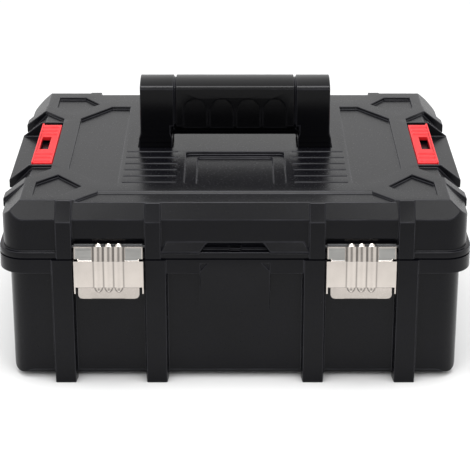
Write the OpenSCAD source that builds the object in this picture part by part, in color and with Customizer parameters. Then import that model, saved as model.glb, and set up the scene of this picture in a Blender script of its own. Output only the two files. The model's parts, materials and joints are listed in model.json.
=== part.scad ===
// Moulded toolbox with a lift-out tray, two steel latches, a fold-down handle
// and two sliding locks on the lid. Millimetres, +Z up, +Y to the back.
// The origin is on the floor, under the middle of the box.

/* [Body] */
// Width over the rim
box_w = 420; // [390:1:510]
// Depth over the rim
box_d = 326; // [300:1:400]
// Height of the seam between tub and lid
seam_z = 120.6; // [110:0.2:180]
// Height of the lid above the seam
lid_h = 51.8; // [50:0.2:70]
// Wall thickness of tub and lid
wall = 2.8; // [2:0.1:3.4]
// How far the rim stands out from the tub wall
rim_out = 8.5; // [6:0.5:10]
// Height of the tub's rim skirt
rim_h = 14.1; // [13:0.1:20]
// Height of the lid's rim band
lid_rim_h = 6.3; // [5:0.1:7]
// How far the lid wall sits inside the rim
lid_inset = 3.5; // [2:0.5:5]
// Plan radius of the rim's corners
corner_r = 24; // [16:1:36]
// Height of the feet under the tub floor
foot_h = 4; // [2:0.5:8]

/* [Ribs] */
// Distance from the rim's side to the outer rib
rib_inset = 48; // [40:1:56]
// Width of the tub's ribs
rib_w = 18.3; // [12:0.1:22]
// Width of the lid's ribs
lid_rib_w = 14; // [10:0.5:18]
// How far the ribs stand out from the rim
rib_proud = 2; // [1:0.5:4]
// How much wider each side of a tub rib is at the wall than at its face
rib_draft = 1.2; // [0:0.1:2]
// Clear width of the bay between two front ribs, where a latch sits
bay_w = 64.3; // [56:0.1:72]
// Width of the lid's and the tub's ribs at the back
back_rib_w = 11.4; // [9:0.2:16]
// Clear width of the bay between two back ribs, where a hinge sits
back_bay_w = 51.4; // [40:0.2:60]
// Width of the side ribs on the lid
side_rib_w = 16; // [12:1:24]

/* [Lid top] */
// Width of the bevel along the lid's sides
side_bevel = 17; // [12:1:20]
// Height of the bevel round the lid
bevel_h = 15.9; // [12:0.1:18]
// Depth of the ledge along the front and the back
ledge_depth = 2; // [1:0.2:3]
// Depth of the sunk panels and pockets
panel_depth = 2.8; // [2:0.1:3.6]
// Width of the sunk side panels
panel_w = 47; // [36:1:54]
// Width of the parts dish in front of the handle
dish_w = 92; // [60:1:100]
// Depth from front to back of the parts dish
dish_d = 85; // [60:1:90]
// Number of grip lines beside the dish
line_count = 6; // [3:1:6]

/* [Latches] */
// Gap between a latch plate and the rib beside it
latch_gap = 1.4; // [0.8:0.1:4]
// Height of a latch from its lower edge to its pin
latch_h = 45.8; // [40:0.2:56]
// Thickness of the latch plate
latch_t = 1.2; // [0.8:0.1:2]
// Radius of the latch pins
latch_pin_r = 1.5; // [1:0.1:2]

/* [Hinges] */
// Radius of the lid hinge pins
hinge_pin_r = 2; // [1.5:0.1:2.5]
// Outside radius of the hinge knuckles
knuckle_r = 4.6; // [4:0.1:5.5]

/* [Handle] */
// Width over the handle's posts
handle_w = 178.6; // [150:0.2:190]
// Width of one post
post_w = 28.4; // [20:0.2:34]
// Thickness of the handle from front to back
handle_t = 32; // [24:1:34]
// Height of the handle above the lid when upright
handle_rise = 63.4; // [52:0.1:72]
// Height of the grip bar from its underside to its top
grip_h = 46; // [34:1:48]
// Radius of the handle's pivot pins
handle_pin_r = 4; // [3:0.5:5]

/* [Slides] */
// Length of a sliding lock
slide_len = 111; // [90:1:120]
// Width of a sliding lock's top
slide_w = 17.2; // [16:0.2:19]
// Travel of a sliding lock towards the back
slide_travel = 5; // [3:0.5:8]

/* [Tray] */
// Height of the tray
tray_h = 46; // [36:1:54]
// Gap between the tray and the tub walls
tray_gap = 2.5; // [1.5:0.5:5]
// Wall thickness of the tray
tray_wall = 2; // [1.6:0.1:3]

/* [Fits] */
// Radial clearance of a pin that something turns on
pin_fit = 0.05; // [0.02:0.01:0.08]
// Gap left between parts that move past each other
slack = 0.6; // [0.4:0.1:1]

/* [Hidden] */

black = [0.14, 0.14, 0.15];
soft_black = [0.08, 0.08, 0.09];
red = [0.86, 0.22, 0.24];
steel = [0.80, 0.78, 0.75];
grey = [0.42, 0.43, 0.45];

// Plan sizes
half_w = box_w / 2;
half_d = box_d / 2;
tub_w = box_w - 2 * rim_out;
tub_d = box_d - 2 * rim_out + 1;
lid_w = box_w - 2 * (lid_inset + 0.5);
lid_d = box_d - 2 * (lid_inset - 0.5);
rib_y = half_d + rib_proud;
tub_r = corner_r - 4;
lid_r = corner_r - 4;

// Heights
top_z = seam_z + lid_h;
low_z = top_z - panel_depth;
bevel_z = top_z - bevel_h;
floor_t = wall + 0.4;
floor_z = foot_h + floor_t;
skirt_z = seam_z - rim_h;
plate_t = 3.5;
tongue_half_w = 31;
tongue_drop = 40;
seat_depth = 3.7;
ceiling_z = top_z - seat_depth - wall;
high_ceiling_z = top_z - wall;
top_half_w = lid_w / 2 - side_bevel;
ledge_z = top_z - ledge_depth;

// Rib places, measured in from the sides
rib_outer_x = half_w - rib_inset;
bay_x0 = rib_outer_x - rib_w - bay_w;
bay_x1 = rib_outer_x - rib_w;
bay_x = (bay_x0 + bay_x1) / 2;
rib_centres = [rib_outer_x - rib_w / 2, bay_x0 - rib_w / 2];
back_rib_centres = [bay_x + (back_bay_w + back_rib_w) / 2, bay_x - (back_bay_w + back_rib_w) / 2];

// Side ribs and fins, measured in from the front
side_rib_y1 = half_d - 52;
side_rib_y0 = side_rib_y1 - side_rib_w;
fin_t = 2.5;
side_out = lid_w / 2 + 3;
side_band_z = top_z - 22.5;
side_shoulder_z = top_z - 14.6;

// Front and back bevels of the lid, and the ledge above them
front_top_y = lid_d / 2 - 8.5;
back_top_y = lid_d / 2 - 5.8;
ledge_y = lid_d / 2 - 30;
front_slope = (lid_d / 2 - front_top_y) / bevel_h;
ledge_front_y = front_top_y + ledge_depth * front_slope;
ledge_half_w = rib_outer_x - 40;
ledge_diag = 20.5;

// Back edge of the parts dish, in front of the handle
dish_y = -26;

// Slides
slide_outer_x = top_half_w - 2.8;
slide_inner_x = slide_outer_x - slide_w;
slide_bay = slide_len / 2 + slide_travel / 2 + 2;
slide_front_y = -slide_bay + 2;
slide_seat_z = top_z - seat_depth;
slide_top_z = top_z + 0.5;
skirt_t = 2.3;
shelf_z = side_shoulder_z;

// Handle
post_r = handle_t / 2;
pivot_y = 3;
pivot_z = top_z - 12.4;
handle_top_z = top_z + handle_rise;
well_half_w = handle_w / 2 + 2.2;
post_inner_x = handle_w / 2 - post_w;
well_inner_x = post_inner_x - 2.2;
well_floor_z = pivot_z - post_r - 1;
grip_low_z = handle_top_z - 4.5 - grip_h + 2;
fold_reach = handle_top_z - pivot_z;
well_back_y = pivot_y + fold_reach + 2.5;
well_mid_y = pivot_y + (grip_low_z - pivot_z) - 4.5;
sleeve_half = post_inner_x - 5.4;
post_flare = 1.6;

// Latches
latch_w = bay_w - 2 * latch_gap;
roll_r = latch_pin_r + pin_fit + latch_t + 0.3;
latch_pin_y = -half_d + 0.8;
latch_pin_z = seam_z + 11.7;
latch_face_y = -half_d - 5.6;
bend_z = latch_pin_z - 11.7;
latch_low_z = latch_pin_z - latch_h;
tab_z = latch_low_z + 9.1;
latch_pin_len = bay_w + 12;

// Hinges
hinge_y = half_d + knuckle_r + 0.8;
knuckle_count = 5;
hinge_len = back_bay_w - 4;
knuckle_len = hinge_len / knuckle_count;

// Tray
tray_w = tub_w - 2 * wall - 2 * tray_gap;
tray_d = tub_d - 2 * wall - 2 * tray_gap;
tray_top_z = seam_z - 10;
tray_low_z = tray_top_z - tray_h;
tray_r = tub_r - wall - tray_gap;
grip_row_d = 78;
grip_row_w = 150;

// ---- helpers ----

// Rounded rectangle on the origin, with true arcs
module rounded_rect(w, d, r) {
    square([w - 2 * r, d], center = true);
    square([w, d - 2 * r], center = true);
    for (sx = [-1, 1], sy = [-1, 1])
        translate([sx * (w / 2 - r), sy * (d / 2 - r)]) circle(r = r, $fn = 64);
}

// Rounded block standing from z0 to z1
module block(w, d, r, z0, z1) {
    translate([0, 0, z0]) linear_extrude(z1 - z0) rounded_rect(w, d, r);
}

// Box given by its two corners
module box(lo, hi) {
    translate(lo) cube(hi - lo);
}

// Outline in X and Z drawn along Y from y0 to y1
module along_y(y0, y1) {
    translate([0, y1, 0]) rotate([90, 0, 0]) linear_extrude(y1 - y0) children();
}

// Outline in Y and Z drawn along X from x0 to x1
module along_x(x0, x1) {
    translate([x0, 0, 0]) rotate([90, 0, 90]) linear_extrude(x1 - x0) children();
}

// Round bar along X
module bar_x(r, x0, x1, y, z) {
    translate([x0, y, z]) rotate([0, 90, 0]) cylinder(r = r, h = x1 - x0, $fn = 48);
}

module left_right() {
    children();
    mirror([1, 0, 0]) children();
}

module front_back() {
    children();
    mirror([0, 1, 0]) children();
}

module all_four() {
    left_right() front_back() children();
}

// ---- tub ----

// Section of the tub across width w, with its lower edges eased in two steps
module eased_section(w) {
    e = 4.5;
    polygon([[-w / 2, seam_z], [-w / 2, foot_h + e], [-w / 2 + 0.3 * e, foot_h + 0.3 * e],
             [-w / 2 + e, foot_h], [w / 2 - e, foot_h], [w / 2 - 0.3 * e, foot_h + 0.3 * e],
             [w / 2, foot_h + e], [w / 2, seam_z]]);
}

// Body of the tub, with its lower edges eased all round
module tub_body() {
    intersection() {
        block(tub_w, tub_d, tub_r, foot_h, seam_z - 1);
        along_y(-half_d, half_d) eased_section(tub_w);
        along_x(-half_w, half_w) eased_section(tub_d);
    }
}

// One rib of width w from the floor to the seam, with its foot under the body
module tub_rib(x, w) {
    foot_x = w / 2 + rib_draft;
    linear_extrude(seam_z)
        polygon([[x - w / 2, -rib_y], [x + w / 2, -rib_y], [x + foot_x, -tub_d / 2],
                 [x + foot_x, -tub_d / 2 + wall], [x - foot_x, -tub_d / 2 + wall],
                 [x - foot_x, -tub_d / 2]]);
    box([x - w / 2, -rib_y + 1, 0], [x + w / 2, -tub_d / 2 + 18, foot_h + 1]);
}

// Ledge on a short wall that the tray rests on
module tray_ledge() {
    ledge_in = tub_w / 2 - wall - tray_gap - 6;
    y_half = tub_d / 2 - 36;
    box([ledge_in, -y_half, tray_low_z - 5], [tub_w / 2 - wall + 1, y_half, tray_low_z]);
    for (y = [-y_half, -y_half / 3, y_half / 3, y_half])
        box([ledge_in + 1, y - 1.5, foot_h + 1], [tub_w / 2 - wall + 1, y + 1.5, tray_low_z - 1]);
}

// Knuckles of one hinge: step 0 gives the tub's, step 1 the lid's
module knuckles(step) {
    x0 = bay_x - hinge_len / 2;
    web_z0 = step == 0 ? seam_z - knuckle_r : seam_z + 0.4;
    web_z1 = step == 0 ? seam_z - 0.4 : seam_z + knuckle_r;
    for (i = [step : 2 : knuckle_count - 1]) {
        xa = x0 + i * knuckle_len + 0.2;
        xb = x0 + (i + 1) * knuckle_len - 0.2;
        bar_x(knuckle_r, xa, xb, hinge_y, seam_z);
        box([xa, half_d - 3, web_z0], [xb, hinge_y, web_z1]);
    }
}

// Room round the other part's knuckles
module knuckle_relief(step) {
    x0 = bay_x - hinge_len / 2;
    for (i = [1 - step : 2 : knuckle_count - 1])
        bar_x(knuckle_r + slack, x0 + i * knuckle_len - 0.2,
              x0 + (i + 1) * knuckle_len + 0.2, hinge_y, seam_z);
}

module hinge_bore() {
    bar_x(hinge_pin_r + pin_fit, bay_x - hinge_len / 2 - 1, bay_x + hinge_len / 2 + 1,
          hinge_y, seam_z);
}

// Hole for a padlock, through both rims at the front
module padlock_hole(z0, z1) {
    translate([0, -half_d + 4, z0]) linear_extrude(z1 - z0) rounded_rect(10, 5, 2.4);
}

// Skirted rim of the tub, hollow from below
module tub_rim() {
    difference() {
        block(box_w, box_d, corner_r, skirt_z, seam_z);
        difference() {
            block(box_w - 6, box_d - 6, corner_r - 3, skirt_z - 1, seam_z - plate_t);
            block(tub_w, tub_d, tub_r, skirt_z - 2, seam_z);
        }
    }
    // solid pad round the padlock hole, with a long ramp down to the wall
    along_x(-tongue_half_w, tongue_half_w)
        polygon([[-half_d, seam_z], [-half_d, skirt_z], [-tub_d / 2, skirt_z - tongue_drop],
                 [-tub_d / 2 + 1, skirt_z - tongue_drop], [-tub_d / 2 + 1, seam_z]]);
}

module base_tub() {
    color(black) difference() {
        union() {
            tub_body();
            tub_rim();
            left_right() {
                for (x = rib_centres) tub_rib(x, rib_w);
                for (x = back_rib_centres) mirror([0, 1, 0]) tub_rib(x, back_rib_w);
                knuckles(0);
            }
        }
        difference() {
            block(tub_w - 2 * wall, tub_d - 2 * wall, tub_r - wall, floor_z, seam_z + 1);
            left_right() tray_ledge();
        }
        left_right() knuckle_relief(0);
        left_right() hinge_bore();
        padlock_hole(skirt_z - 1, seam_z + 1);
        // a triangular notch at each upper corner of the middle tongue
        left_right() along_y(-half_d - 1, -half_d + 2)
            polygon([[tongue_half_w - 6.5, skirt_z + 9.7], [tongue_half_w - 0.5, skirt_z + 9.7],
                     [tongue_half_w - 0.5, skirt_z + 2.5]]);
    }
}

// ---- lid ----

// Side profile: bevel from the flat top down to the side wall
module bevel_profile(out, shoulder_z, top_half) {
    polygon([[-out, seam_z - 1], [-out, shoulder_z], [-top_half, top_z], [top_half, top_z],
             [out, shoulder_z], [out, seam_z - 1]]);
}

// Front profile: bevel from the flat top down to the front wall
module front_profile() {
    polygon([[-lid_d / 2, seam_z - 1], [-lid_d / 2, bevel_z], [-front_top_y, top_z],
             [back_top_y, top_z], [lid_d / 2, bevel_z], [lid_d / 2, seam_z - 1]]);
}

// Cut for the ledge along the front and the back; its riser leans at 45 degrees
module ledge_cut() {
    w0 = ledge_half_w;
    w1 = ledge_half_w + ledge_diag;
    front_back() translate([0, 0, ledge_z]) linear_extrude(ledge_depth + 2)
        polygon([[-w0, -ledge_y - ledge_depth], [w0, -ledge_y - ledge_depth],
                 [w1, -half_d + 8.5], [w1, -half_d - 4], [-w1, -half_d - 4],
                 [-w1, -half_d + 8.5]]);
    // the riser's slope along the straight middle
    front_back() along_x(-w0, w0)
        polygon([[-ledge_y - ledge_depth, ledge_z], [-ledge_y + 1, top_z + 1],
                 [-ledge_y - ledge_depth - 1, top_z + 1]]);
}

module lid_body() {
    difference() {
        intersection() {
            block(lid_w, lid_d, lid_r, seam_z, top_z);
            along_y(-half_d, half_d) bevel_profile(lid_w / 2, bevel_z, top_half_w);
            along_x(-half_w, half_w) front_profile();
        }
        ledge_cut();
    }
}

// Slice of the wider side profile between y0 and y1, kept above the side band
module side_slice(y0, y1) {
    intersection() {
        along_y(y0, y1) bevel_profile(side_out, side_shoulder_z, top_half_w + 1);
        box([lid_w / 2 - 30, y0, side_band_z], [half_w, y1, top_z]);
    }
}

// Rib of width w on the lid's front, from the rim over the bevel up to z and y
module lid_rib(x, w, y, z) {
    along_x(x - w / 2, x + w / 2)
        polygon([[-lid_d / 2 + 14, seam_z], [-rib_y, seam_z], [-rib_y, bevel_z - 0.5],
                 [-y - 1.8, z], [-lid_d / 2 + 14, z]]);
}

// Ribs of the lid: the outer ones reach the top, the inner ones the ledge
module lid_ribs() {
    shift = (rib_w - lid_rib_w) / 2;
    lid_rib(rib_centres[0] - shift, lid_rib_w, front_top_y, top_z);
    lid_rib(rib_centres[1] + shift, lid_rib_w, ledge_front_y, ledge_z);
    mirror([0, 1, 0]) {
        lid_rib(back_rib_centres[0], back_rib_w, back_top_y + 0.6, top_z);
        lid_rib(back_rib_centres[1], back_rib_w, back_top_y, ledge_z);
    }
}

// Leaning wedge beside the padlock place
module lid_wedge() {
    z0 = seam_z + lid_rim_h - 1;
    z1 = z0 + 10;
    intersection() {
        along_y(-half_d - 1, -lid_d / 2 + 2)
            polygon([[31.9, z0], [66.7, z0], [60.4, z1], [24.7, z1]]);
        along_x(0, half_w)
            polygon([[-lid_d / 2 + 2, z0], [-half_d - 0.8, z0], [-half_d - 0.8, z0 + 1.5],
                     [-lid_d / 2, z1], [-lid_d / 2 + 2, z1]]);
    }
}

// Sunk panel on each side of the top
module side_panel() {
    x1 = half_w - 57.5;
    x0 = x1 - panel_w;
    y_end = half_d - 53.5;
    y_mid = y_end - 37.5;
    translate([0, 0, low_z]) linear_extrude(panel_depth + 1)
        polygon([[x1, -y_mid], [x1 - 29, -y_end], [x0, -y_end], [x0, y_end],
                 [x1 - 29, y_end], [x1, y_mid]]);
}

// Sunk pocket in each corner
module corner_pocket() {
    x1 = half_w - 31;
    y1 = -half_d + 23.5;
    translate([0, 0, low_z]) linear_extrude(panel_depth + 1)
        polygon([[x1, y1], [x1, y1 + 32], [x1 - 18, y1 + 52], [x1 - 41.5, y1 + 22],
                 [x1 - 26, y1]]);
}

// Lower step between the slide's housing and a side rib, with its bevel
module side_step() {
    y0 = slide_bay + fin_t;
    y1 = side_rib_y0;
    x1 = slide_inner_x;
    translate([0, 0, low_z]) linear_extrude(panel_depth + 1)
        polygon([[x1, y0], [x1, min(y1 - 20, y0 + 9)], [top_half_w, y1],
                 [half_w, y1], [half_w, y0]]);
    along_y(y0, y1)
        polygon([[top_half_w - 2, low_z], [lid_w / 2 - 1.5, bevel_z - 4.5],
                 [lid_w / 2 - 1.5, side_band_z], [half_w, side_band_z], [half_w, top_z]]);
}

// Seat of a sliding lock: open top, undercut inside, open shelf outside
module slide_seat() {
    box([slide_inner_x, -slide_bay, slide_seat_z], [half_w, slide_bay, top_z + 1]);
    box([slide_inner_x - 1.8, -slide_bay, slide_seat_z],
        [slide_inner_x + 1, slide_bay, slide_seat_z + 2.2]);
    box([slide_outer_x - skirt_t + 1.6, -slide_bay, shelf_z], [half_w, slide_bay, top_z]);
    box([slide_outer_x - skirt_t, -slide_bay, shelf_z],
        [slide_outer_x + 1, slide_bay, shelf_z + 3]);
    // clear space under the window
    box([slide_inner_x + 7, -24, slide_seat_z - 1.8], [slide_inner_x + 17, 24, top_z]);
}

// Well that takes the handle when it is folded back
module handle_well(grow, z0, z1) {
    difference() {
        box([-well_half_w - grow, pivot_y - post_r - 1 - grow, z0],
            [well_half_w + grow, well_back_y + grow, z1]);
        box([-well_inner_x + grow, pivot_y - post_r - 2 - grow, z0 - 1],
            [well_inner_x - grow, well_mid_y - grow, z1 + 1]);
    }
}

// Parts dish in front of the handle, in two levels
module dish(grow, z0, z1) {
    translate([0, dish_y - dish_d / 2, z0]) linear_extrude(z1 - z0)
        rounded_rect(dish_w + 2 * grow, dish_d + 2 * grow, 5 + grow);
}

module dish_deep() {
    translate([0, dish_y - dish_d / 2 - 0.5, low_z - 1.8]) linear_extrude(panel_depth)
        rounded_rect(dish_w - 22, dish_d - 11, 4);
}

// Pocket in the lid's front wall behind a latch
module latch_pocket(grow) {
    box([bay_x0 - grow, -half_d - 1, seam_z + lid_rim_h - (grow > 0 ? lid_rim_h : 0)],
        [bay_x1 + grow, -lid_d / 2 + 2.8 + grow, seam_z + 18 + grow]);
}

// Place in the lid's front wall for a padlock's body: it leans in towards the rim
module padlock_pocket() {
    z0 = seam_z + lid_rim_h;
    intersection() {
        along_y(-half_d, -lid_d / 2 + 5)
            polygon([[-30.5, z0], [30.5, z0], [24.5, z0 + 8.5], [-24.5, z0 + 8.5]]);
        along_x(-32, 32)
            polygon([[-half_d, z0], [-lid_d / 2 + 3.6, z0], [-lid_d / 2 + 3.6, z0 + 2],
                     [-lid_d / 2, z0 + 8.5], [-half_d, z0 + 8.5]]);
    }
    box([-5.5, -half_d, z0], [5.5, -lid_d / 2 + 5.5, z0 + 3.6]);
}

// Thickening of the front wall behind the padlock place
module padlock_backing() {
    box([-36, -half_d, seam_z], [36, -lid_d / 2 + 5.5 + wall, seam_z + lid_rim_h + 12]);
}

// Hollow of the lid: a bevelled main space and a higher middle
module lid_hollow() {
    in_w = lid_w / 2 - wall;
    in_d = lid_d / 2 - wall;
    difference() {
        union() {
            intersection() {
                block(2 * in_w, 2 * in_d, lid_r - wall, seam_z - 1, ceiling_z);
                along_y(-half_d, half_d)
                    polygon([[-in_w, seam_z - 2], [-in_w, side_band_z - 6],
                             [-in_w + 23.5, shelf_z - 0.5], [-in_w + 25.2, ceiling_z],
                             [in_w - 25.2, ceiling_z], [in_w - 23.5, shelf_z - 0.5],
                             [in_w, side_band_z - 6], [in_w, seam_z - 2]]);
                along_x(-half_w, half_w)
                    polygon([[-in_d, seam_z - 2], [-in_d, bevel_z - 2],
                             [-in_d + 10, ceiling_z], [in_d - 10, ceiling_z],
                             [in_d, bevel_z - 2], [in_d, seam_z - 2]]);
            }
            box([-half_w + 107.5, -half_d + 37, ceiling_z - 1],
                [half_w - 107.5, half_d - 37, high_ceiling_z]);
        }
        handle_well(wall, well_floor_z - wall, top_z + 2);
        dish(wall, ceiling_z - 1.8, top_z + 2);
        left_right() latch_pocket(wall);
        padlock_backing();
    }
}

module lid_shell() {
    line_x0 = dish_w / 2 + 8;
    line_pitch = (dish_d - 3) / (line_count - 1);
    color(black) difference() {
        union() {
            lid_body();
            block(box_w, box_d, corner_r, seam_z, seam_z + lid_rim_h);
            left_right() lid_ribs();
            all_four() side_slice(side_rib_y0, side_rib_y1);
            all_four() side_slice(slide_bay, slide_bay + fin_t);
            left_right() side_slice(-slide_bay - fin_t, slide_bay + fin_t);
            left_right() lid_wedge();
            left_right() knuckles(1);
        }
        lid_hollow();
        left_right() knuckle_relief(1);
        left_right() hinge_bore();
        padlock_hole(seam_z - 1, seam_z + lid_rim_h + 1);
        padlock_pocket();
        left_right() latch_pocket(0);
        left_right() bar_x(latch_pin_r + pin_fit, bay_x - latch_pin_len / 2 - 0.2,
                           bay_x + latch_pin_len / 2 + 0.2, latch_pin_y, latch_pin_z);
        all_four() side_step();
        all_four() corner_pocket();
        left_right() side_panel();
        left_right() slide_seat();
        dish(0, low_z, top_z + 1);
        dish_deep();
        for (i = [0 : line_count - 1]) left_right()
            box([line_x0, dish_y - 1.2 - i * line_pitch, top_z - 1.6],
                [line_x0 + 47, dish_y + 1 - i * line_pitch, top_z + 1]);
        handle_well(0, well_floor_z, top_z + 1);
        bar_x(handle_pin_r + pin_fit, -well_half_w - wall + 0.8, well_half_w + wall - 0.8,
              pivot_y, pivot_z);
    }
}

// ---- handle ----

// Points of the crowned top from y0 to y1, highest at z; it falls most at the front
function crown(y0, y1, z) =
    let (r = (y1 - y0) / (sin(22) + sin(8)), middle = y0 + r * sin(22))
    [for (a = [22 : -5 : -8]) [middle - r * sin(a), z - r * (1 - cos(a))]];

module post_outline() {
    // round foot about the pivot, flat sides and a crowned top
    y0 = pivot_y - post_r;
    y1 = pivot_y + post_r;
    translate([pivot_y, pivot_z]) circle(r = post_r, $fn = 64);
    polygon(concat([[y0, pivot_z], [y0, handle_top_z - 6.2]],
                   crown(y0 + 2, y1 - 2.5, handle_top_z),
                   [[y1, handle_top_z - 3], [y1, pivot_z]]));
}

// Section of the bar between the posts
module bar_outline(inset) {
    y0 = pivot_y - post_r + inset;
    y1 = pivot_y + post_r - inset;
    top = handle_top_z - inset;
    low = grip_low_z + inset;
    polygon(concat([[y0, low + 6], [y0, top - 6.2]], crown(y0 + 2, y1 - 2.5, top),
                   [[y1, top - 3], [y1, low + 14], [y1 - 9, low + 4], [y1 - 18, low],
                    [y0 + 5, low]]));
}

// Widened foot of a post, round its pivot
module post_foot() {
    x0 = post_inner_x - post_flare;
    x1 = handle_w / 2 + post_flare;
    flare_z = pivot_z + 26;
    intersection() {
        along_x(x0, x1) post_outline();
        along_y(pivot_y - post_r, pivot_y + post_r)
            polygon([[x0, 0], [x0, flare_z - 5], [x0 + post_flare, flare_z],
                     [x1 - post_flare, flare_z], [x1, flare_z - 5], [x1, 0]]);
    }
}

module handle_bail() {
    color(soft_black) difference() {
        union() {
            left_right() post_foot();
            left_right() along_x(post_inner_x, handle_w / 2) post_outline();
            along_x(-post_inner_x - 1, post_inner_x + 1) bar_outline(3);
            left_right() along_x(sleeve_half, sleeve_half + 2.5) bar_outline(1.6);
            left_right() along_x(sleeve_half + 2, post_inner_x + 1) bar_outline(0);
        }
        left_right() bar_x(handle_pin_r + pin_fit, post_inner_x - post_flare - 1,
                           handle_w / 2 + post_flare + 1, pivot_y, pivot_z);
    }
}

// Soft sleeve round the bar, with four finger hollows in front
module handle_grip() {
    finger_r = 11;
    finger_pitch = 25;
    color(soft_black) difference() {
        along_x(-sleeve_half, sleeve_half) bar_outline(0);
        along_x(-sleeve_half - 1, sleeve_half + 1) bar_outline(3);
        // each hollow has a round head and runs on down under the bar
        for (i = [-1.5 : 1 : 1.5])
            translate([i * finger_pitch, pivot_y - post_r + 1.8, grip_low_z + 22]) {
                rotate([90, 0, 0]) cylinder(r = finger_r, h = 5, $fn = 48);
                translate([-finger_r, -5, -30]) cube([2 * finger_r, 5, 30]);
            }
    }
}

// Headless pin through one post, held in the well's outer and inner walls
module handle_pin(side) {
    x0 = well_inner_x - wall + 1;
    x1 = well_half_w + wall - 1;
    color(steel) mirror([side < 0 ? 1 : 0, 0, 0])
        bar_x(handle_pin_r, x0, x1, pivot_y, pivot_z);
}

// ---- latches ----

// Side view of the plate: roll, leaning part, upright part and flared tab
module latch_outline() {
    t = latch_t;
    y = latch_face_y;
    polygon([[latch_pin_y - roll_r, latch_pin_z + 1],
             [y, bend_z], [y, tab_z], [y - 3.6, latch_low_z],
             [y - 3.6 + t, latch_low_z], [y + t, tab_z + 0.4], [y + t, bend_z + 0.2],
             [latch_pin_y - roll_r + t + 0.1, latch_pin_z + 0.2],
             [latch_pin_y - roll_r + t + 0.1, latch_pin_z + 1]]);
}

module latch_plate(side) {
    x0 = bay_x - latch_w / 2;
    x1 = bay_x + latch_w / 2;
    rib_pitch = 9.2;
    color(steel) mirror([side < 0 ? 1 : 0, 0, 0]) difference() {
        union() {
            along_x(x0, x1) latch_outline();
            bar_x(roll_r, x0, x1, latch_pin_y, latch_pin_z);
            // raised ribs that run from the roll down to the tab
            for (i = [-1 : 1]) {
                bar_x(roll_r + 0.8, bay_x + i * rib_pitch - 2.5, bay_x + i * rib_pitch + 2.5,
                      latch_pin_y, latch_pin_z);
                along_x(bay_x + i * rib_pitch - 2.5, bay_x + i * rib_pitch + 2.5)
                    translate([-0.8, 0]) latch_outline();
            }
            // turned-in side flanges
            for (x = [x0, x1 - latch_t])
                box([x, latch_face_y + 0.2, latch_low_z + 3],
                    [x + latch_t, -half_d - slack, bend_z - 2]);
            // catch lip behind the plate
            box([x0 + 8, latch_face_y + 0.2, skirt_z - 3.5],
                [x1 - 8, -half_d - slack, skirt_z - 1.2]);
        }
        bar_x(latch_pin_r + pin_fit, x0 - 1, x1 + 1, latch_pin_y, latch_pin_z);
        // relief notches beside the bend
        for (x = [x0 - 1, x1 - 3])
            box([x, latch_face_y - 2, bend_z - 1], [x + 4, latch_face_y + 3, bend_z + 1.4]);
        // narrower tab below the upright part
        for (x = [x0 - 1, x1 - 3.6])
            box([x, latch_face_y - 6, latch_low_z - 1], [x + 4.6, latch_face_y + 0.1, tab_z]);
    }
}

module latch_pin(side) {
    color(steel) mirror([side < 0 ? 1 : 0, 0, 0])
        bar_x(latch_pin_r, bay_x - latch_pin_len / 2, bay_x + latch_pin_len / 2,
              latch_pin_y, latch_pin_z);
}

module hinge_pin(side) {
    color(steel) mirror([side < 0 ? 1 : 0, 0, 0])
        bar_x(hinge_pin_r, bay_x - hinge_len / 2, bay_x + hinge_len / 2, hinge_y, seam_z);
}

// ---- sliding locks ----

module slide(side) {
    y0 = slide_front_y;
    y1 = y0 + slide_len;
    x0 = slide_inner_x + slack;
    x1 = slide_outer_x + skirt_t;
    z0 = slide_seat_z + 0.3;
    color(red) mirror([side < 0 ? 1 : 0, 0, 0]) difference() {
        union() {
            box([x0, y0, z0], [slide_outer_x + 1, y1 - 2, slide_top_z]);
            // tongue under the lid's edge
            box([x0 - 1.6, y0, z0], [x0 + 1, y1 - 2, z0 + 1.5]);
            // outer skirt with a raised rim and a turned-in foot
            box([slide_outer_x + 0.3, y0, shelf_z + 0.6], [x1, y1, slide_top_z + 0.8]);
            box([slide_outer_x - 1.2, y0, shelf_z + 0.6], [x1, y1, shelf_z + 2.2]);
            // grip ridges at both ends
            for (y = [y0 + 5, y0 + 15, y0 + 25, y1 - 30, y1 - 20, y1 - 10])
                box([x0 + 2, y, slide_top_z - 1], [slide_outer_x + 1, y + 3, slide_top_z + 0.7]);
        }
        // window
        box([slide_inner_x + 7.5, -19.8, z0 - 1], [slide_inner_x + 15.8, 15.5, slide_top_z + 3]);
    }
}

// ---- tray ----

module tray() {
    z0 = tray_low_z;
    z1 = tray_top_z;
    in_w = tray_w / 2 - tray_wall;
    in_d = tray_d / 2 - tray_wall;
    row = grip_row_d / 2;
    t = tray_wall / 2;
    divider_z = z1 - 4;
    color(grey) difference() {
        union() {
            difference() {
                block(tray_w, tray_d, tray_r, z0, z1);
                block(2 * in_w, 2 * in_d, tray_r - tray_wall, z0 + tray_wall, z1 + 1);
            }
            // two long dividers and the cross dividers of the three rows
            for (y = [-row, row])
                box([-in_w - t, y - t, z0 + t], [in_w + t, y + t, divider_z]);
            for (x = [-in_w / 3, in_w / 3])
                box([x - t, -in_d - t, z0 + t], [x + t, -row, divider_z]);
            box([-t, row, z0 + t], [t, in_d + t, divider_z]);
            for (x = [-grip_row_w / 2, grip_row_w / 2])
                box([x - t, -row, z0 + t], [x + t, row, z1]);
            // carrying bar over the middle row
            box([-grip_row_w / 2, -9, z1 - 11], [grip_row_w / 2, 9, z1]);
        }
        // hollow underside of the carrying bar
        box([-grip_row_w / 2 + 2, -7, z1 - 12], [grip_row_w / 2 - 2, 7, z1 - 2]);
    }
}

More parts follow.
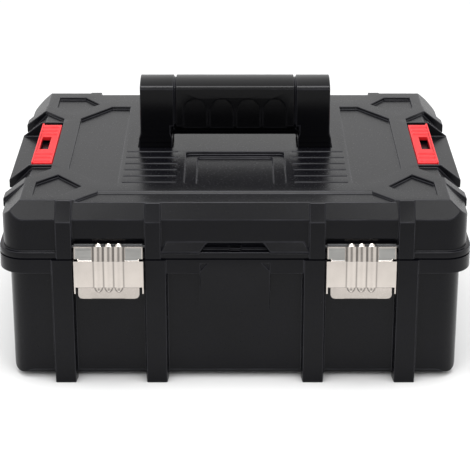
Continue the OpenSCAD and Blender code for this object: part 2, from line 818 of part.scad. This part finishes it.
base_tub();
lid_shell();
tray();
handle_bail();
handle_grip();
handle_pin(-1);  // handle_pin_left
handle_pin(1);  // handle_pin_right
latch_plate(-1);  // latch_plate_left
latch_plate(1);  // latch_plate_right
latch_pin(-1);  // latch_pin_left
latch_pin(1);  // latch_pin_right
hinge_pin(-1);  // hinge_pin_left
hinge_pin(1);  // hinge_pin_right
slide(-1);  // slide_left
slide(1);  // slide_right
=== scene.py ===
"""Looks of the moulded toolbox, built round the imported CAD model. Metres, +Z up, +Y to the back."""

import json
from math import cos, pi, radians, sin, sqrt

import bmesh
import bpy
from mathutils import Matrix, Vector

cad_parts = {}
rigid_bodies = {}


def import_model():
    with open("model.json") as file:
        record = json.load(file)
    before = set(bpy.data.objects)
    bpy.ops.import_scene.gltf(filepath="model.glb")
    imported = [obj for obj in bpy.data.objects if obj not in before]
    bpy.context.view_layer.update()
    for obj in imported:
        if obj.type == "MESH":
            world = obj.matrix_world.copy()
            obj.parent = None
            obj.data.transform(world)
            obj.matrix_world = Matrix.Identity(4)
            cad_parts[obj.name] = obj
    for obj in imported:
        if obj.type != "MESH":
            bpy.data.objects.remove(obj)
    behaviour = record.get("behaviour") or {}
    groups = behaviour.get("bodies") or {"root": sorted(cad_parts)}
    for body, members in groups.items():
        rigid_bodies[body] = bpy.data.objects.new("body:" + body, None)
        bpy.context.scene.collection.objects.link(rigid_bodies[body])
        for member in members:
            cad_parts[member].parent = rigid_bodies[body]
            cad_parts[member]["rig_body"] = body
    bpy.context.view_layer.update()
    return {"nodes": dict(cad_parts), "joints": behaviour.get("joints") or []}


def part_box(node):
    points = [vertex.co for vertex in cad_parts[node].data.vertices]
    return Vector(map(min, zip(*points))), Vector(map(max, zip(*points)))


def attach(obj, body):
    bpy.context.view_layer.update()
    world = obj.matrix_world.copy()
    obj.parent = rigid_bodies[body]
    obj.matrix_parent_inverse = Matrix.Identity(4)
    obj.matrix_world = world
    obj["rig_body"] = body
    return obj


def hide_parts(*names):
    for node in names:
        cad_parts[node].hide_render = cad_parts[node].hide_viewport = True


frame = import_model()
MM = 0.001

# ---------------------------------------------------------------- materials


class Nodes:
    """Short calls for building one material's node tree."""

    def __init__(self, name):
        self.material = bpy.data.materials.new(name)
        self.material.use_nodes = True
        self.tree = self.material.node_tree
        self.shader = self.tree.nodes["Principled BSDF"]

    def add(self, kind, **settings):
        node = self.tree.nodes.new(kind)
        for key, value in settings.items():
            if key in node.inputs:
                node.inputs[key].default_value = value
            else:
                setattr(node, key, value)
        return node

    def link(self, source, output, target, socket):
        self.tree.links.new(source.outputs[output], target.inputs[socket])

    def place(self):
        return self.add("ShaderNodeTexCoord")

    def noise(self, scale, detail=2.0, stretch=None):
        """Noise over the object's own coordinates, scale in cells per metre."""
        node = self.add("ShaderNodeTexNoise", Scale=scale, Detail=detail)
        where = self.place()
        if stretch is None:
            self.link(where, "Object", node, "Vector")
        else:
            mapping = self.add("ShaderNodeMapping")
            mapping.inputs["Scale"].default_value = stretch
            self.link(where, "Object", mapping, "Vector")
            self.link(mapping, "Vector", node, "Vector")
        return node

    def ramp(self, source, output, low, high, at=(0.3, 0.7)):
        """A colour ramp from low to high, both RGB, driven by source."""
        node = self.add("ShaderNodeValToRGB")
        node.color_ramp.elements[0].position = at[0]
        node.color_ramp.elements[0].color = (*low, 1)
        node.color_ramp.elements[1].position = at[1]
        node.color_ramp.elements[1].color = (*high, 1)
        self.link(source, output, node, "Fac")
        return node

    def mix(self, factor, factor_out, a, b):
        """Colour mix: a and b are RGB or (node, output)."""
        node = self.add("ShaderNodeMix", data_type="RGBA")
        self.link(factor, factor_out, node, "Factor")
        for value, socket in ((a, 6), (b, 7)):
            if isinstance(value[0], (int, float)):
                node.inputs[socket].default_value = (*value, 1)
            else:
                self.tree.links.new(value[0].outputs[value[1]], node.inputs[socket])
        return node

    def span(self, source, output, low, high, start=0.0, end=1.0):
        """Maps start..end from source to low..high."""
        node = self.add("ShaderNodeMapRange")
        node.inputs["From Min"].default_value = start
        node.inputs["From Max"].default_value = end
        node.inputs["To Min"].default_value = low
        node.inputs["To Max"].default_value = high
        self.link(source, output, node, "Value")
        return node

    def bump(self, layers):
        """Chain of (node, output, distance in metres, strength) into the shader's normal."""
        last = None
        for source, output, distance, strength in layers:
            node = self.add("ShaderNodeBump", Distance=distance, Strength=strength)
            self.link(source, output, node, "Height")
            if last is not None:
                self.link(last, "Normal", node, "Normal")
            last = node
        self.link(last, "Normal", self.shader, "Normal")


def moulded_plastic(name, colour, edge_wear_and_highlight_colour, roughness, grain, level=0.2):
    """Injection-moulded plastic: fine spark grain, faint mottling, edges made a little lighter, part
    rubbed wear and part painted highlight.

    The "edge" attribute is 1 on rounded edges and -1 in the seam, where the gloss is taken off as painted
    shade."""
    n = Nodes(name)
    mottle = n.noise(35, 3)
    fine = n.noise(2600, 2)
    coarse = n.noise(700, 3)
    base = n.ramp(mottle, "Fac", [c * 0.86 for c in colour], [c * 1.14 for c in colour])
    edge = n.add("ShaderNodeAttribute", attribute_name="edge")
    # Seam faces (edge -1) lose their gloss: painted shade in the seam between lid and tub.
    n.link(n.span(edge, "Fac", 0.0, level, -1.0, 0.0), "Result", n.shader, "Specular IOR Level")
    # Rounded edges are lightened in patches: part rubbed wear, part painted highlight.
    rub_and_sheen_noise = n.noise(45, 3)
    wear_and_highlight = n.add("ShaderNodeMath", operation="MULTIPLY")
    n.link(edge, "Fac", wear_and_highlight, 0)
    n.link(n.ramp(rub_and_sheen_noise, "Fac", (0.35, 0.35, 0.35), (1, 1, 1), (0.3, 0.7)), "Color", wear_and_highlight, 1)
    tint = n.mix(wear_and_highlight, "Value", (base, "Color"), edge_wear_and_highlight_colour)
    n.tree.links.new(tint.outputs[2], n.shader.inputs["Base Color"])
    rough = n.span(coarse, "Fac", roughness - 0.05, roughness + 0.06)
    n.link(rough, "Result", n.shader, "Roughness")
    n.bump([(fine, "Fac", 0.00005 * grain, 0.5), (coarse, "Fac", 0.00008 * grain, 0.35)])
    return n.material


def plated_steel(name, colour, roughness, along, streak=0.5):
    """Nickel-plated steel with drawn streaks along one axis and faint handling marks."""
    n = Nodes(name)
    n.shader.inputs["Metallic"].default_value = 1.0
    stretch = [60.0, 60.0, 60.0]
    for i in range(3):
        stretch[i] = 40.0 if i == along else 2200.0
    lines = n.noise(1.0, 3, stretch)
    cloud = n.noise(60, 4)
    base = n.ramp(cloud, "Fac", [c * 0.94 for c in colour], [min(1, c * 1.04) for c in colour])
    # Darker at the foot of each ridge: painted shade in the creases.
    crease_shade = n.add("ShaderNodeAttribute", attribute_name="crease_shade")
    tint = n.mix(crease_shade, "Fac", (base, "Color"), [c * 0.5 for c in colour])
    n.tree.links.new(tint.outputs[2], n.shader.inputs["Base Color"])
    rough = n.span(lines, "Fac", roughness - 0.07, roughness + 0.1)
    n.link(rough, "Result", n.shader, "Roughness")
    n.bump([(lines, "Fac", 0.00002, streak)])
    return n.material


# Each plastic's second colour is its lighter edge colour: part rubbed wear, part painted highlight.
BLACK = moulded_plastic("black_moulded", (0.0017, 0.0017, 0.0026), (0.016, 0.016, 0.019), 0.25, 1.0, 0.15)
HANDLE = moulded_plastic("handle_moulded", (0.0008, 0.0008, 0.0012), (0.01, 0.01, 0.012), 0.14, 0.35, 0.16)
GRIP = moulded_plastic("grip_soft", (0.0006, 0.0006, 0.0009), (0.006, 0.006, 0.007), 0.18, 0.5, 0.16)
TRAY = moulded_plastic("tray_moulded", (0.006, 0.006, 0.0065), (0.03, 0.03, 0.03), 0.4, 1.0)
RED = moulded_plastic("red_moulded", (0.47, 0.009, 0.012), (0.6, 0.04, 0.045), 0.34, 0.6, 0.12)
STEEL = plated_steel("latch_plated", (0.54, 0.495, 0.455), 0.15, 2, 0.25)
BRUSHED = plated_steel("latch_brushed", (0.40, 0.395, 0.38), 0.3, 0, 1.0)
# Dark steel for the roll and the latch pins: painted shade.
STEEL_PAINTED_SHADE = plated_steel("roll_and_pin_painted_shade", (0.035, 0.035, 0.036), 0.4, 0, 0.5)
WIRE = plated_steel("pin_drawn", (0.62, 0.62, 0.61), 0.3, 0)

# ---------------------------------------------------------------- mesh helpers


def joint_place(name):
    """The place of a joint, in millimetres."""
    joint = next(j for j in frame["joints"] if j["name"] == name)
    return Vector(joint["pos_m"]) / MM


seam_z = joint_place("lid_hinge").z * MM  # the lid turns at the height where it meets the tub
seam_reach = 0.9 * MM
weld = 0.02 * MM


def link(obj):
    bpy.context.scene.collection.objects.link(obj)
    return obj


def applied(obj):
    """obj with its modifiers made real."""
    bpy.context.view_layer.update()
    mesh = bpy.data.meshes.new_from_object(obj.evaluated_get(bpy.context.evaluated_depsgraph_get()))
    obj.modifiers.clear()
    old = obj.data
    obj.data = mesh
    mesh.name = old.name
    bpy.data.meshes.remove(old)
    return obj


def rounded(obj, material, width, segments, angle):
    """Rounds obj's sharp edges by width, and marks the new faces in its "edge" attribute.

    The bevel gives its faces a second slot, which tells them apart and is then taken off again."""
    obj.data.materials.clear()
    for _ in range(2):
        obj.data.materials.append(material)
    rounding = obj.modifiers.new("rounding", "BEVEL")
    rounding.width = width
    rounding.segments = segments
    rounding.limit_method = "ANGLE"
    rounding.angle_limit = radians(angle)
    rounding.use_clamp_overlap = False
    rounding.loop_slide = False
    rounding.material = 1
    applied(obj)
    marks = []
    for p in obj.data.polygons:
        # Rounded faces in the seam get -1, which takes their gloss off as painted shade; other rounded
        # faces get 1.
        in_seam = abs(p.center.z - seam_z) < seam_reach
        marks.append((-1.0 if in_seam else 1.0) if p.material_index == 1 else 0.0)
        p.use_smooth = True
        p.material_index = 0
    obj.data.materials.pop(index=1)
    obj.modifiers.new("normals", "WEIGHTED_NORMAL").keep_sharp = False
    applied(obj)
    layer = obj.data.attributes.new("edge", "FLOAT", "FACE")
    layer.data.foreach_set("value", marks)
    return obj


def refined(node, piece, material, width, segments=2, angle=14):
    """A copy of a CAD node with its sharp edges rounded by width.

    Its flat faces are joined up first and cut again into better triangles, so that they round cleanly."""
    mesh = frame["nodes"][node].data.copy()
    mesh.name = piece
    bm = bmesh.new()
    bm.from_mesh(mesh)
    bmesh.ops.remove_doubles(bm, verts=bm.verts, dist=weld)
    bmesh.ops.dissolve_degenerate(bm, edges=bm.edges, dist=weld)
    bmesh.ops.dissolve_limit(
        bm, angle_limit=radians(0.6), use_dissolve_boundaries=False, verts=bm.verts, edges=bm.edges
    )
    bmesh.ops.triangulate(bm, faces=bm.faces, quad_method="BEAUTY", ngon_method="BEAUTY")
    bm.to_mesh(mesh)
    bm.free()
    return rounded(link(bpy.data.objects.new(piece, mesh)), material, width, segments, angle)


def stands_for(piece, node):
    """piece rides with its node's body and is shown instead of it."""
    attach(piece, frame["nodes"][node]["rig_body"])
    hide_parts(node)
    return piece


# ---------------------------------------------------------------- latches

bend_drop = 11.7  # from the latch's pin down to its bend, in millimetres
ridge_pitch = 8.9


def latch_rows(pin, face_y, low_z, half):
    """Rows down the latch: (y, z, normal y, normal z, half width, ridge height, ridge reach, zone).

    The sheet runs round its pin, leans out to a bend, drops straight, and flares at the tab.
    Ridge reach is the ridges' half width. Zone 1 has the two sunk side panels, zone 2 is the roll."""
    roll, ridge, reach = 3.05, 0.85, 4.4
    lean = radians(162)
    bend = Vector((face_y, pin.z - bend_drop))
    top = Vector((pin.y + roll * cos(lean), pin.z + roll * sin(lean)))
    tab_length = 9.1
    tab_z = low_z + tab_length
    flare = 3.6
    rows = []
    for i in range(17):
        a = radians(-50) + (lean - radians(-50)) * i / 16
        rise = min(1, max(0, (a - radians(60)) / radians(35)))
        place = (pin.y + roll * cos(a), pin.z + roll * sin(a), cos(a), sin(a))
        rows.append((*place, half - 0.6, ridge * rise, 2.9 + 1.5 * (i / 16) ** 4, 2))
    notch = half - 3.6
    spots = [(0.03, 0, 0), (0.07, 0, 0), (0.09, 1, 0), (0.3, 1, 0), (0.5, 1, 0), (0.7, 1, 0)]
    spots += [(0.83, 1, 0), (0.832, 1, 1), (0.9, 1, 1), (0.95, 1, 1), (0.975, 0, 1), (0.995, 0, 1)]
    for t, sunk, cut in spots:
        at = top.lerp(bend, t)
        width = notch if cut else half - 0.4
        rows.append((at.x, at.y, cos(lean), sin(lean), width, ridge, reach, sunk))
    mid = Vector((cos(lean) - 1, sin(lean))).normalized()
    rows.append((bend.x, bend.y, mid.x, mid.y, notch, ridge, reach, 0))
    rows.append((bend.x, bend.y - 0.02, mid.x, mid.y, half, ridge, reach, 0))
    for i in range(1, 12):
        z = bend.y + (tab_z + 0.3 - bend.y) * i / 11
        rows.append((face_y, z, -1, 0, half, ridge, reach, 0))
    slope = Vector((-(tab_z - low_z), flare)).normalized()
    tab_half, corner = half - 3.7, 3.6
    ridge_end = 3.6
    for i in range(23):
        down = tab_length * (i / 22) ** 1.15
        fade = sqrt(max(0, 1 - (down / ridge_end) ** 2))
        left = tab_length - down
        width = tab_half
        if left < corner:
            width -= corner - sqrt(corner**2 - (corner - left) ** 2)
        y = face_y - flare * down / tab_length
        rows.append((y, tab_z - down, slope.x, slope.y, width, ridge * fade, 3.3 * fade, 0))
    return rows


def latch_columns(row):
    """Points across one row: (x, height over the sheet, look, painted shade at the foot of the ridges).

    Look 0 is bright steel, 1 a brushed side panel and 2 the roll between its ridges, in dark steel as
    painted shade."""
    _, _, _, _, width, ridge, reach, zone = row
    inner, fine, crease = 14.5, 58, 1.1
    out = []
    for i in range(-fine, fine + 1):
        x = i * inner / fine
        lift = crease_shade = 0
        for centre in (-ridge_pitch, 0, ridge_pitch):
            away = abs(x - centre)
            if reach > 0 and away < reach:
                lift += ridge * 0.5 * (1 + cos(pi * away / reach))
            # A band round the foot of each ridge gets painted shade.
            off = abs(away - reach)
            if off < crease and ridge > 0:
                crease_shade = max(crease_shade, 0.5 * (1 + cos(pi * off / crease)))
        out.append((x, lift, 2 if zone == 2 and lift < 0.45 * ridge else 0, crease_shade))
    steps = (0.01, 0.03, 0.3, 0.5, 0.7, 0.9, 0.93, 0.97, 1.0)
    side = []
    for s in steps:
        panel = zone == 1 and 0.03 <= s <= 0.93
        look = 1 if panel else 2 * (zone == 2)
        side.append((inner + (width - inner) * s, -0.3 if panel else 0, look, 0))
    return [(-x, h, p, g) for x, h, p, g in reversed(side)] + out + side


def add_block(bm, lo, hi):
    """Adds a box to bm, from its lowest to its highest corner."""
    size = Vector(hi) - Vector(lo)
    made = bmesh.ops.create_cube(bm, size=1)
    bmesh.ops.scale(bm, vec=size, verts=made["verts"])
    bmesh.ops.translate(bm, vec=(Vector(hi) + Vector(lo)) / 2, verts=made["verts"])


def stamped_latch(side):
    """One latch: a stamped sheet with a roll, three ridges, sunk panels, side flanges and a lip."""
    pin = joint_place(f"latch_{side}_swing")
    lo, hi = (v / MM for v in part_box("latch_plate_" + side))
    half = (hi.x - lo.x) / 2
    middle = (hi.x + lo.x) / 2
    thick = 1.2
    face_y = lo.y + 4.4
    rows = latch_rows(pin, face_y, lo.z, half)
    bm = bmesh.new()
    outer, inner, looks = [], [], []
    # Per-point painted shade at the ridges' feet, read by the steel materials.
    crease_shade_layer = bm.verts.layers.float.new("crease_shade")
    for row in rows:
        y, z, ny, nz = row[:4]
        points = latch_columns(row)
        front = [(middle + x, y + ny * h, z + nz * h) for x, h, _, _ in points]
        back = [(middle + x, y + ny * (h - thick), z + nz * (h - thick)) for x, h, _, _ in points]
        outer.append([bm.verts.new(v) for v in front])
        inner.append([bm.verts.new(v) for v in back])
        looks.append([look for _, _, look, _ in points])
        for vert, point in zip(outer[-1], points):
            vert[crease_shade_layer] = point[3]
    last = len(outer[0]) - 1
    for i in range(len(rows) - 1):
        for j in range(last):
            a, b = outer[i], outer[i + 1]
            face = bm.faces.new((a[j], b[j], b[j + 1], a[j + 1]))
            face.material_index = min(looks[i][j], looks[i + 1][j], looks[i][j + 1], looks[i + 1][j + 1])
            a, b = inner[i], inner[i + 1]
            bm.faces.new((a[j + 1], b[j + 1], b[j], a[j]))
        for j, order in ((0, (0, 1)), (last, (1, 0))):
            a, b = i + order[0], i + order[1]
            bm.faces.new((outer[a][j], inner[a][j], inner[b][j], outer[b][j]))
    for i, flip in ((0, False), (len(rows) - 1, True)):
        for j in range(last):
            quad = (outer[i][j], outer[i][j + 1], inner[i][j + 1], inner[i][j])
            bm.faces.new(reversed(quad) if flip else quad)
    bend_z = pin.z - bend_drop
    rim_gap_y = face_y + 5
    for x0, x1 in ((lo.x, lo.x + thick), (hi.x - thick, hi.x)):
        add_block(bm, (x0, face_y + 0.15, lo.z + 3), (x1, rim_gap_y, bend_z - 0.4))
    add_block(bm, (lo.x + 8, face_y + 0.3, pin.z - 29), (hi.x - 8, rim_gap_y, pin.z - 27.2))
    bmesh.ops.scale(bm, vec=(MM, MM, MM), verts=bm.verts)
    mesh = bpy.data.meshes.new("latch_" + side)
    bm.to_mesh(mesh)
    bm.free()
    for material in (STEEL, BRUSHED, STEEL_PAINTED_SHADE):
        mesh.materials.append(material)
    obj = link(bpy.data.objects.new("latch_" + side, mesh))
    for p in mesh.polygons:
        p.use_smooth = True
    rounding = obj.modifiers.new("rounding", "BEVEL")
    rounding.width = 0.2 * MM
    rounding.segments = 2
    rounding.limit_method = "ANGLE"
    rounding.angle_limit = radians(50)
    rounding.use_clamp_overlap = True
    obj.modifiers.new("normals", "WEIGHTED_NORMAL").keep_sharp = False
    return applied(obj)


# ---------------------------------------------------------------- shells

stands_for(refined("base_tub", "tub", BLACK, 0.7 * MM), "base_tub")
stands_for(refined("lid_shell", "lid", BLACK, 0.75 * MM), "lid_shell")
stands_for(refined("tray", "tray_shell", TRAY, 0.4 * MM), "tray")
stands_for(refined("handle_bail", "handle_frame", HANDLE, 1.0 * MM, 3), "handle_bail")
stands_for(refined("handle_grip", "handle_sleeve", GRIP, 0.7 * MM, 2), "handle_grip")
for side in ("left", "right"):
    lock = refined("slide_" + side, "lock_" + side, RED, 0.45 * MM)
    stands_for(lock, "slide_" + side)
    stands_for(stamped_latch(side), "latch_plate_" + side)
    # The latch pins take the dark steel: painted shade.
    for node, steel in (("handle_pin_", WIRE), ("latch_pin_", STEEL_PAINTED_SHADE), ("hinge_pin_", WIRE)):
        pin = refined(node + side, node + side + "_turned", steel, 0.25 * MM)
        stands_for(pin, node + side)

# ---------------------------------------------------------------- stage


def studio_floor():
    """A wide pale floor, darker in front of the toolbox, where its front walls mirror it."""
    mesh = bpy.data.meshes.new("studio_floor")
    far = 12.0
    mesh.from_pydata([(-far, -far, 0), (far, -far, 0), (far, far, 0), (-far, far, 0)], [], [(0, 1, 2, 3)])
    n = Nodes("pale_floor")
    split = n.add("ShaderNodeSeparateXYZ")
    n.link(n.place(), "Object", split, "Vector")
    back = n.span(split, "Y", 0.0, 1.0, -0.5, -0.33)
    tone = n.mix(back, "Result", (0.46, 0.46, 0.46), (0.64, 0.64, 0.64))
    n.tree.links.new(tone.outputs[2], n.shader.inputs["Base Color"])
    n.shader.inputs["Roughness"].default_value = 0.9
    n.shader.inputs["Specular IOR Level"].default_value = 0.1
    mesh.materials.append(n.material)
    floor = link(bpy.data.objects.new("studio_floor", mesh))


def soft_light(name, place, target, size, power):
    """A rectangular area light of size metres at place, turned towards target, power in watts."""
    data = bpy.data.lights.new(name, "AREA")
    data.shape = "RECTANGLE"
    data.size, data.size_y = size
    data.energy = power
    lamp = link(bpy.data.objects.new(name, data))
    lamp.location = place
    lamp.rotation_euler = (Vector(target) - Vector(place)).to_track_quat("-Z", "Y").to_euler()


def studio_world():
    """Even white light, darker towards the horizon at the front, where a camera would stand."""
    low, high = 0.25, 0.36
    world = bpy.data.worlds.new("studio")
    world.use_nodes = True
    tree = world.node_tree
    where = tree.nodes.new("ShaderNodeTexCoord")
    split = tree.nodes.new("ShaderNodeSeparateXYZ")
    tree.links.new(where.outputs["Generated"], split.inputs[0])
    height = tree.nodes.new("ShaderNodeValToRGB")
    height.color_ramp.elements[0].position = low
    height.color_ramp.elements[0].color = (0.4, 0.4, 0.4, 1)
    height.color_ramp.elements[1].position = high
    height.color_ramp.elements[1].color = (1.35, 1.35, 1.35, 1)
    tree.links.new(split.outputs["Z"], height.inputs["Fac"])
    back = tree.nodes.new("ShaderNodeMapRange")
    back.inputs["From Min"].default_value = -0.97
    back.inputs["From Max"].default_value = -0.85
    tree.links.new(split.outputs["Y"], back.inputs["Value"])
    mix = tree.nodes.new("ShaderNodeMix")
    mix.data_type = "RGBA"
    tree.links.new(back.outputs["Result"], mix.inputs["Factor"])
    tree.links.new(height.outputs["Color"], mix.inputs[6])
    mix.inputs[7].default_value = (1.15, 1.15, 1.15, 1)
    tree.links.new(mix.outputs[2], tree.nodes["Background"].inputs["Color"])
    bpy.context.scene.world = world


def camera():
    """Long lens from the front, looking down by 22.2 degrees."""
    data = bpy.data.cameras.new("camera")
    data.sensor_width = 36
    data.lens = 139.0
    cam = link(bpy.data.objects.new("camera", data))
    cam.location = (0.0, -1.6367, 0.745)
    cam.rotation_euler = (radians(90 - 22.2), 0, 0)
    bpy.context.scene.camera = cam


studio_floor()
studio_world()
soft_light("top_softbox", (0, -0.1, 1.7), (0, 0, 0.1), (1.4, 0.9), 32)
for name, x in (("left", -0.45), ("right", 0.45)):
    soft_light("front_card_" + name, (x, -1.14, 0.86), (0, -0.1, 0.15), (0.5, 0.5), 4.5)
camera()
bpy.context.scene.view_settings.view_transform = "Standard"
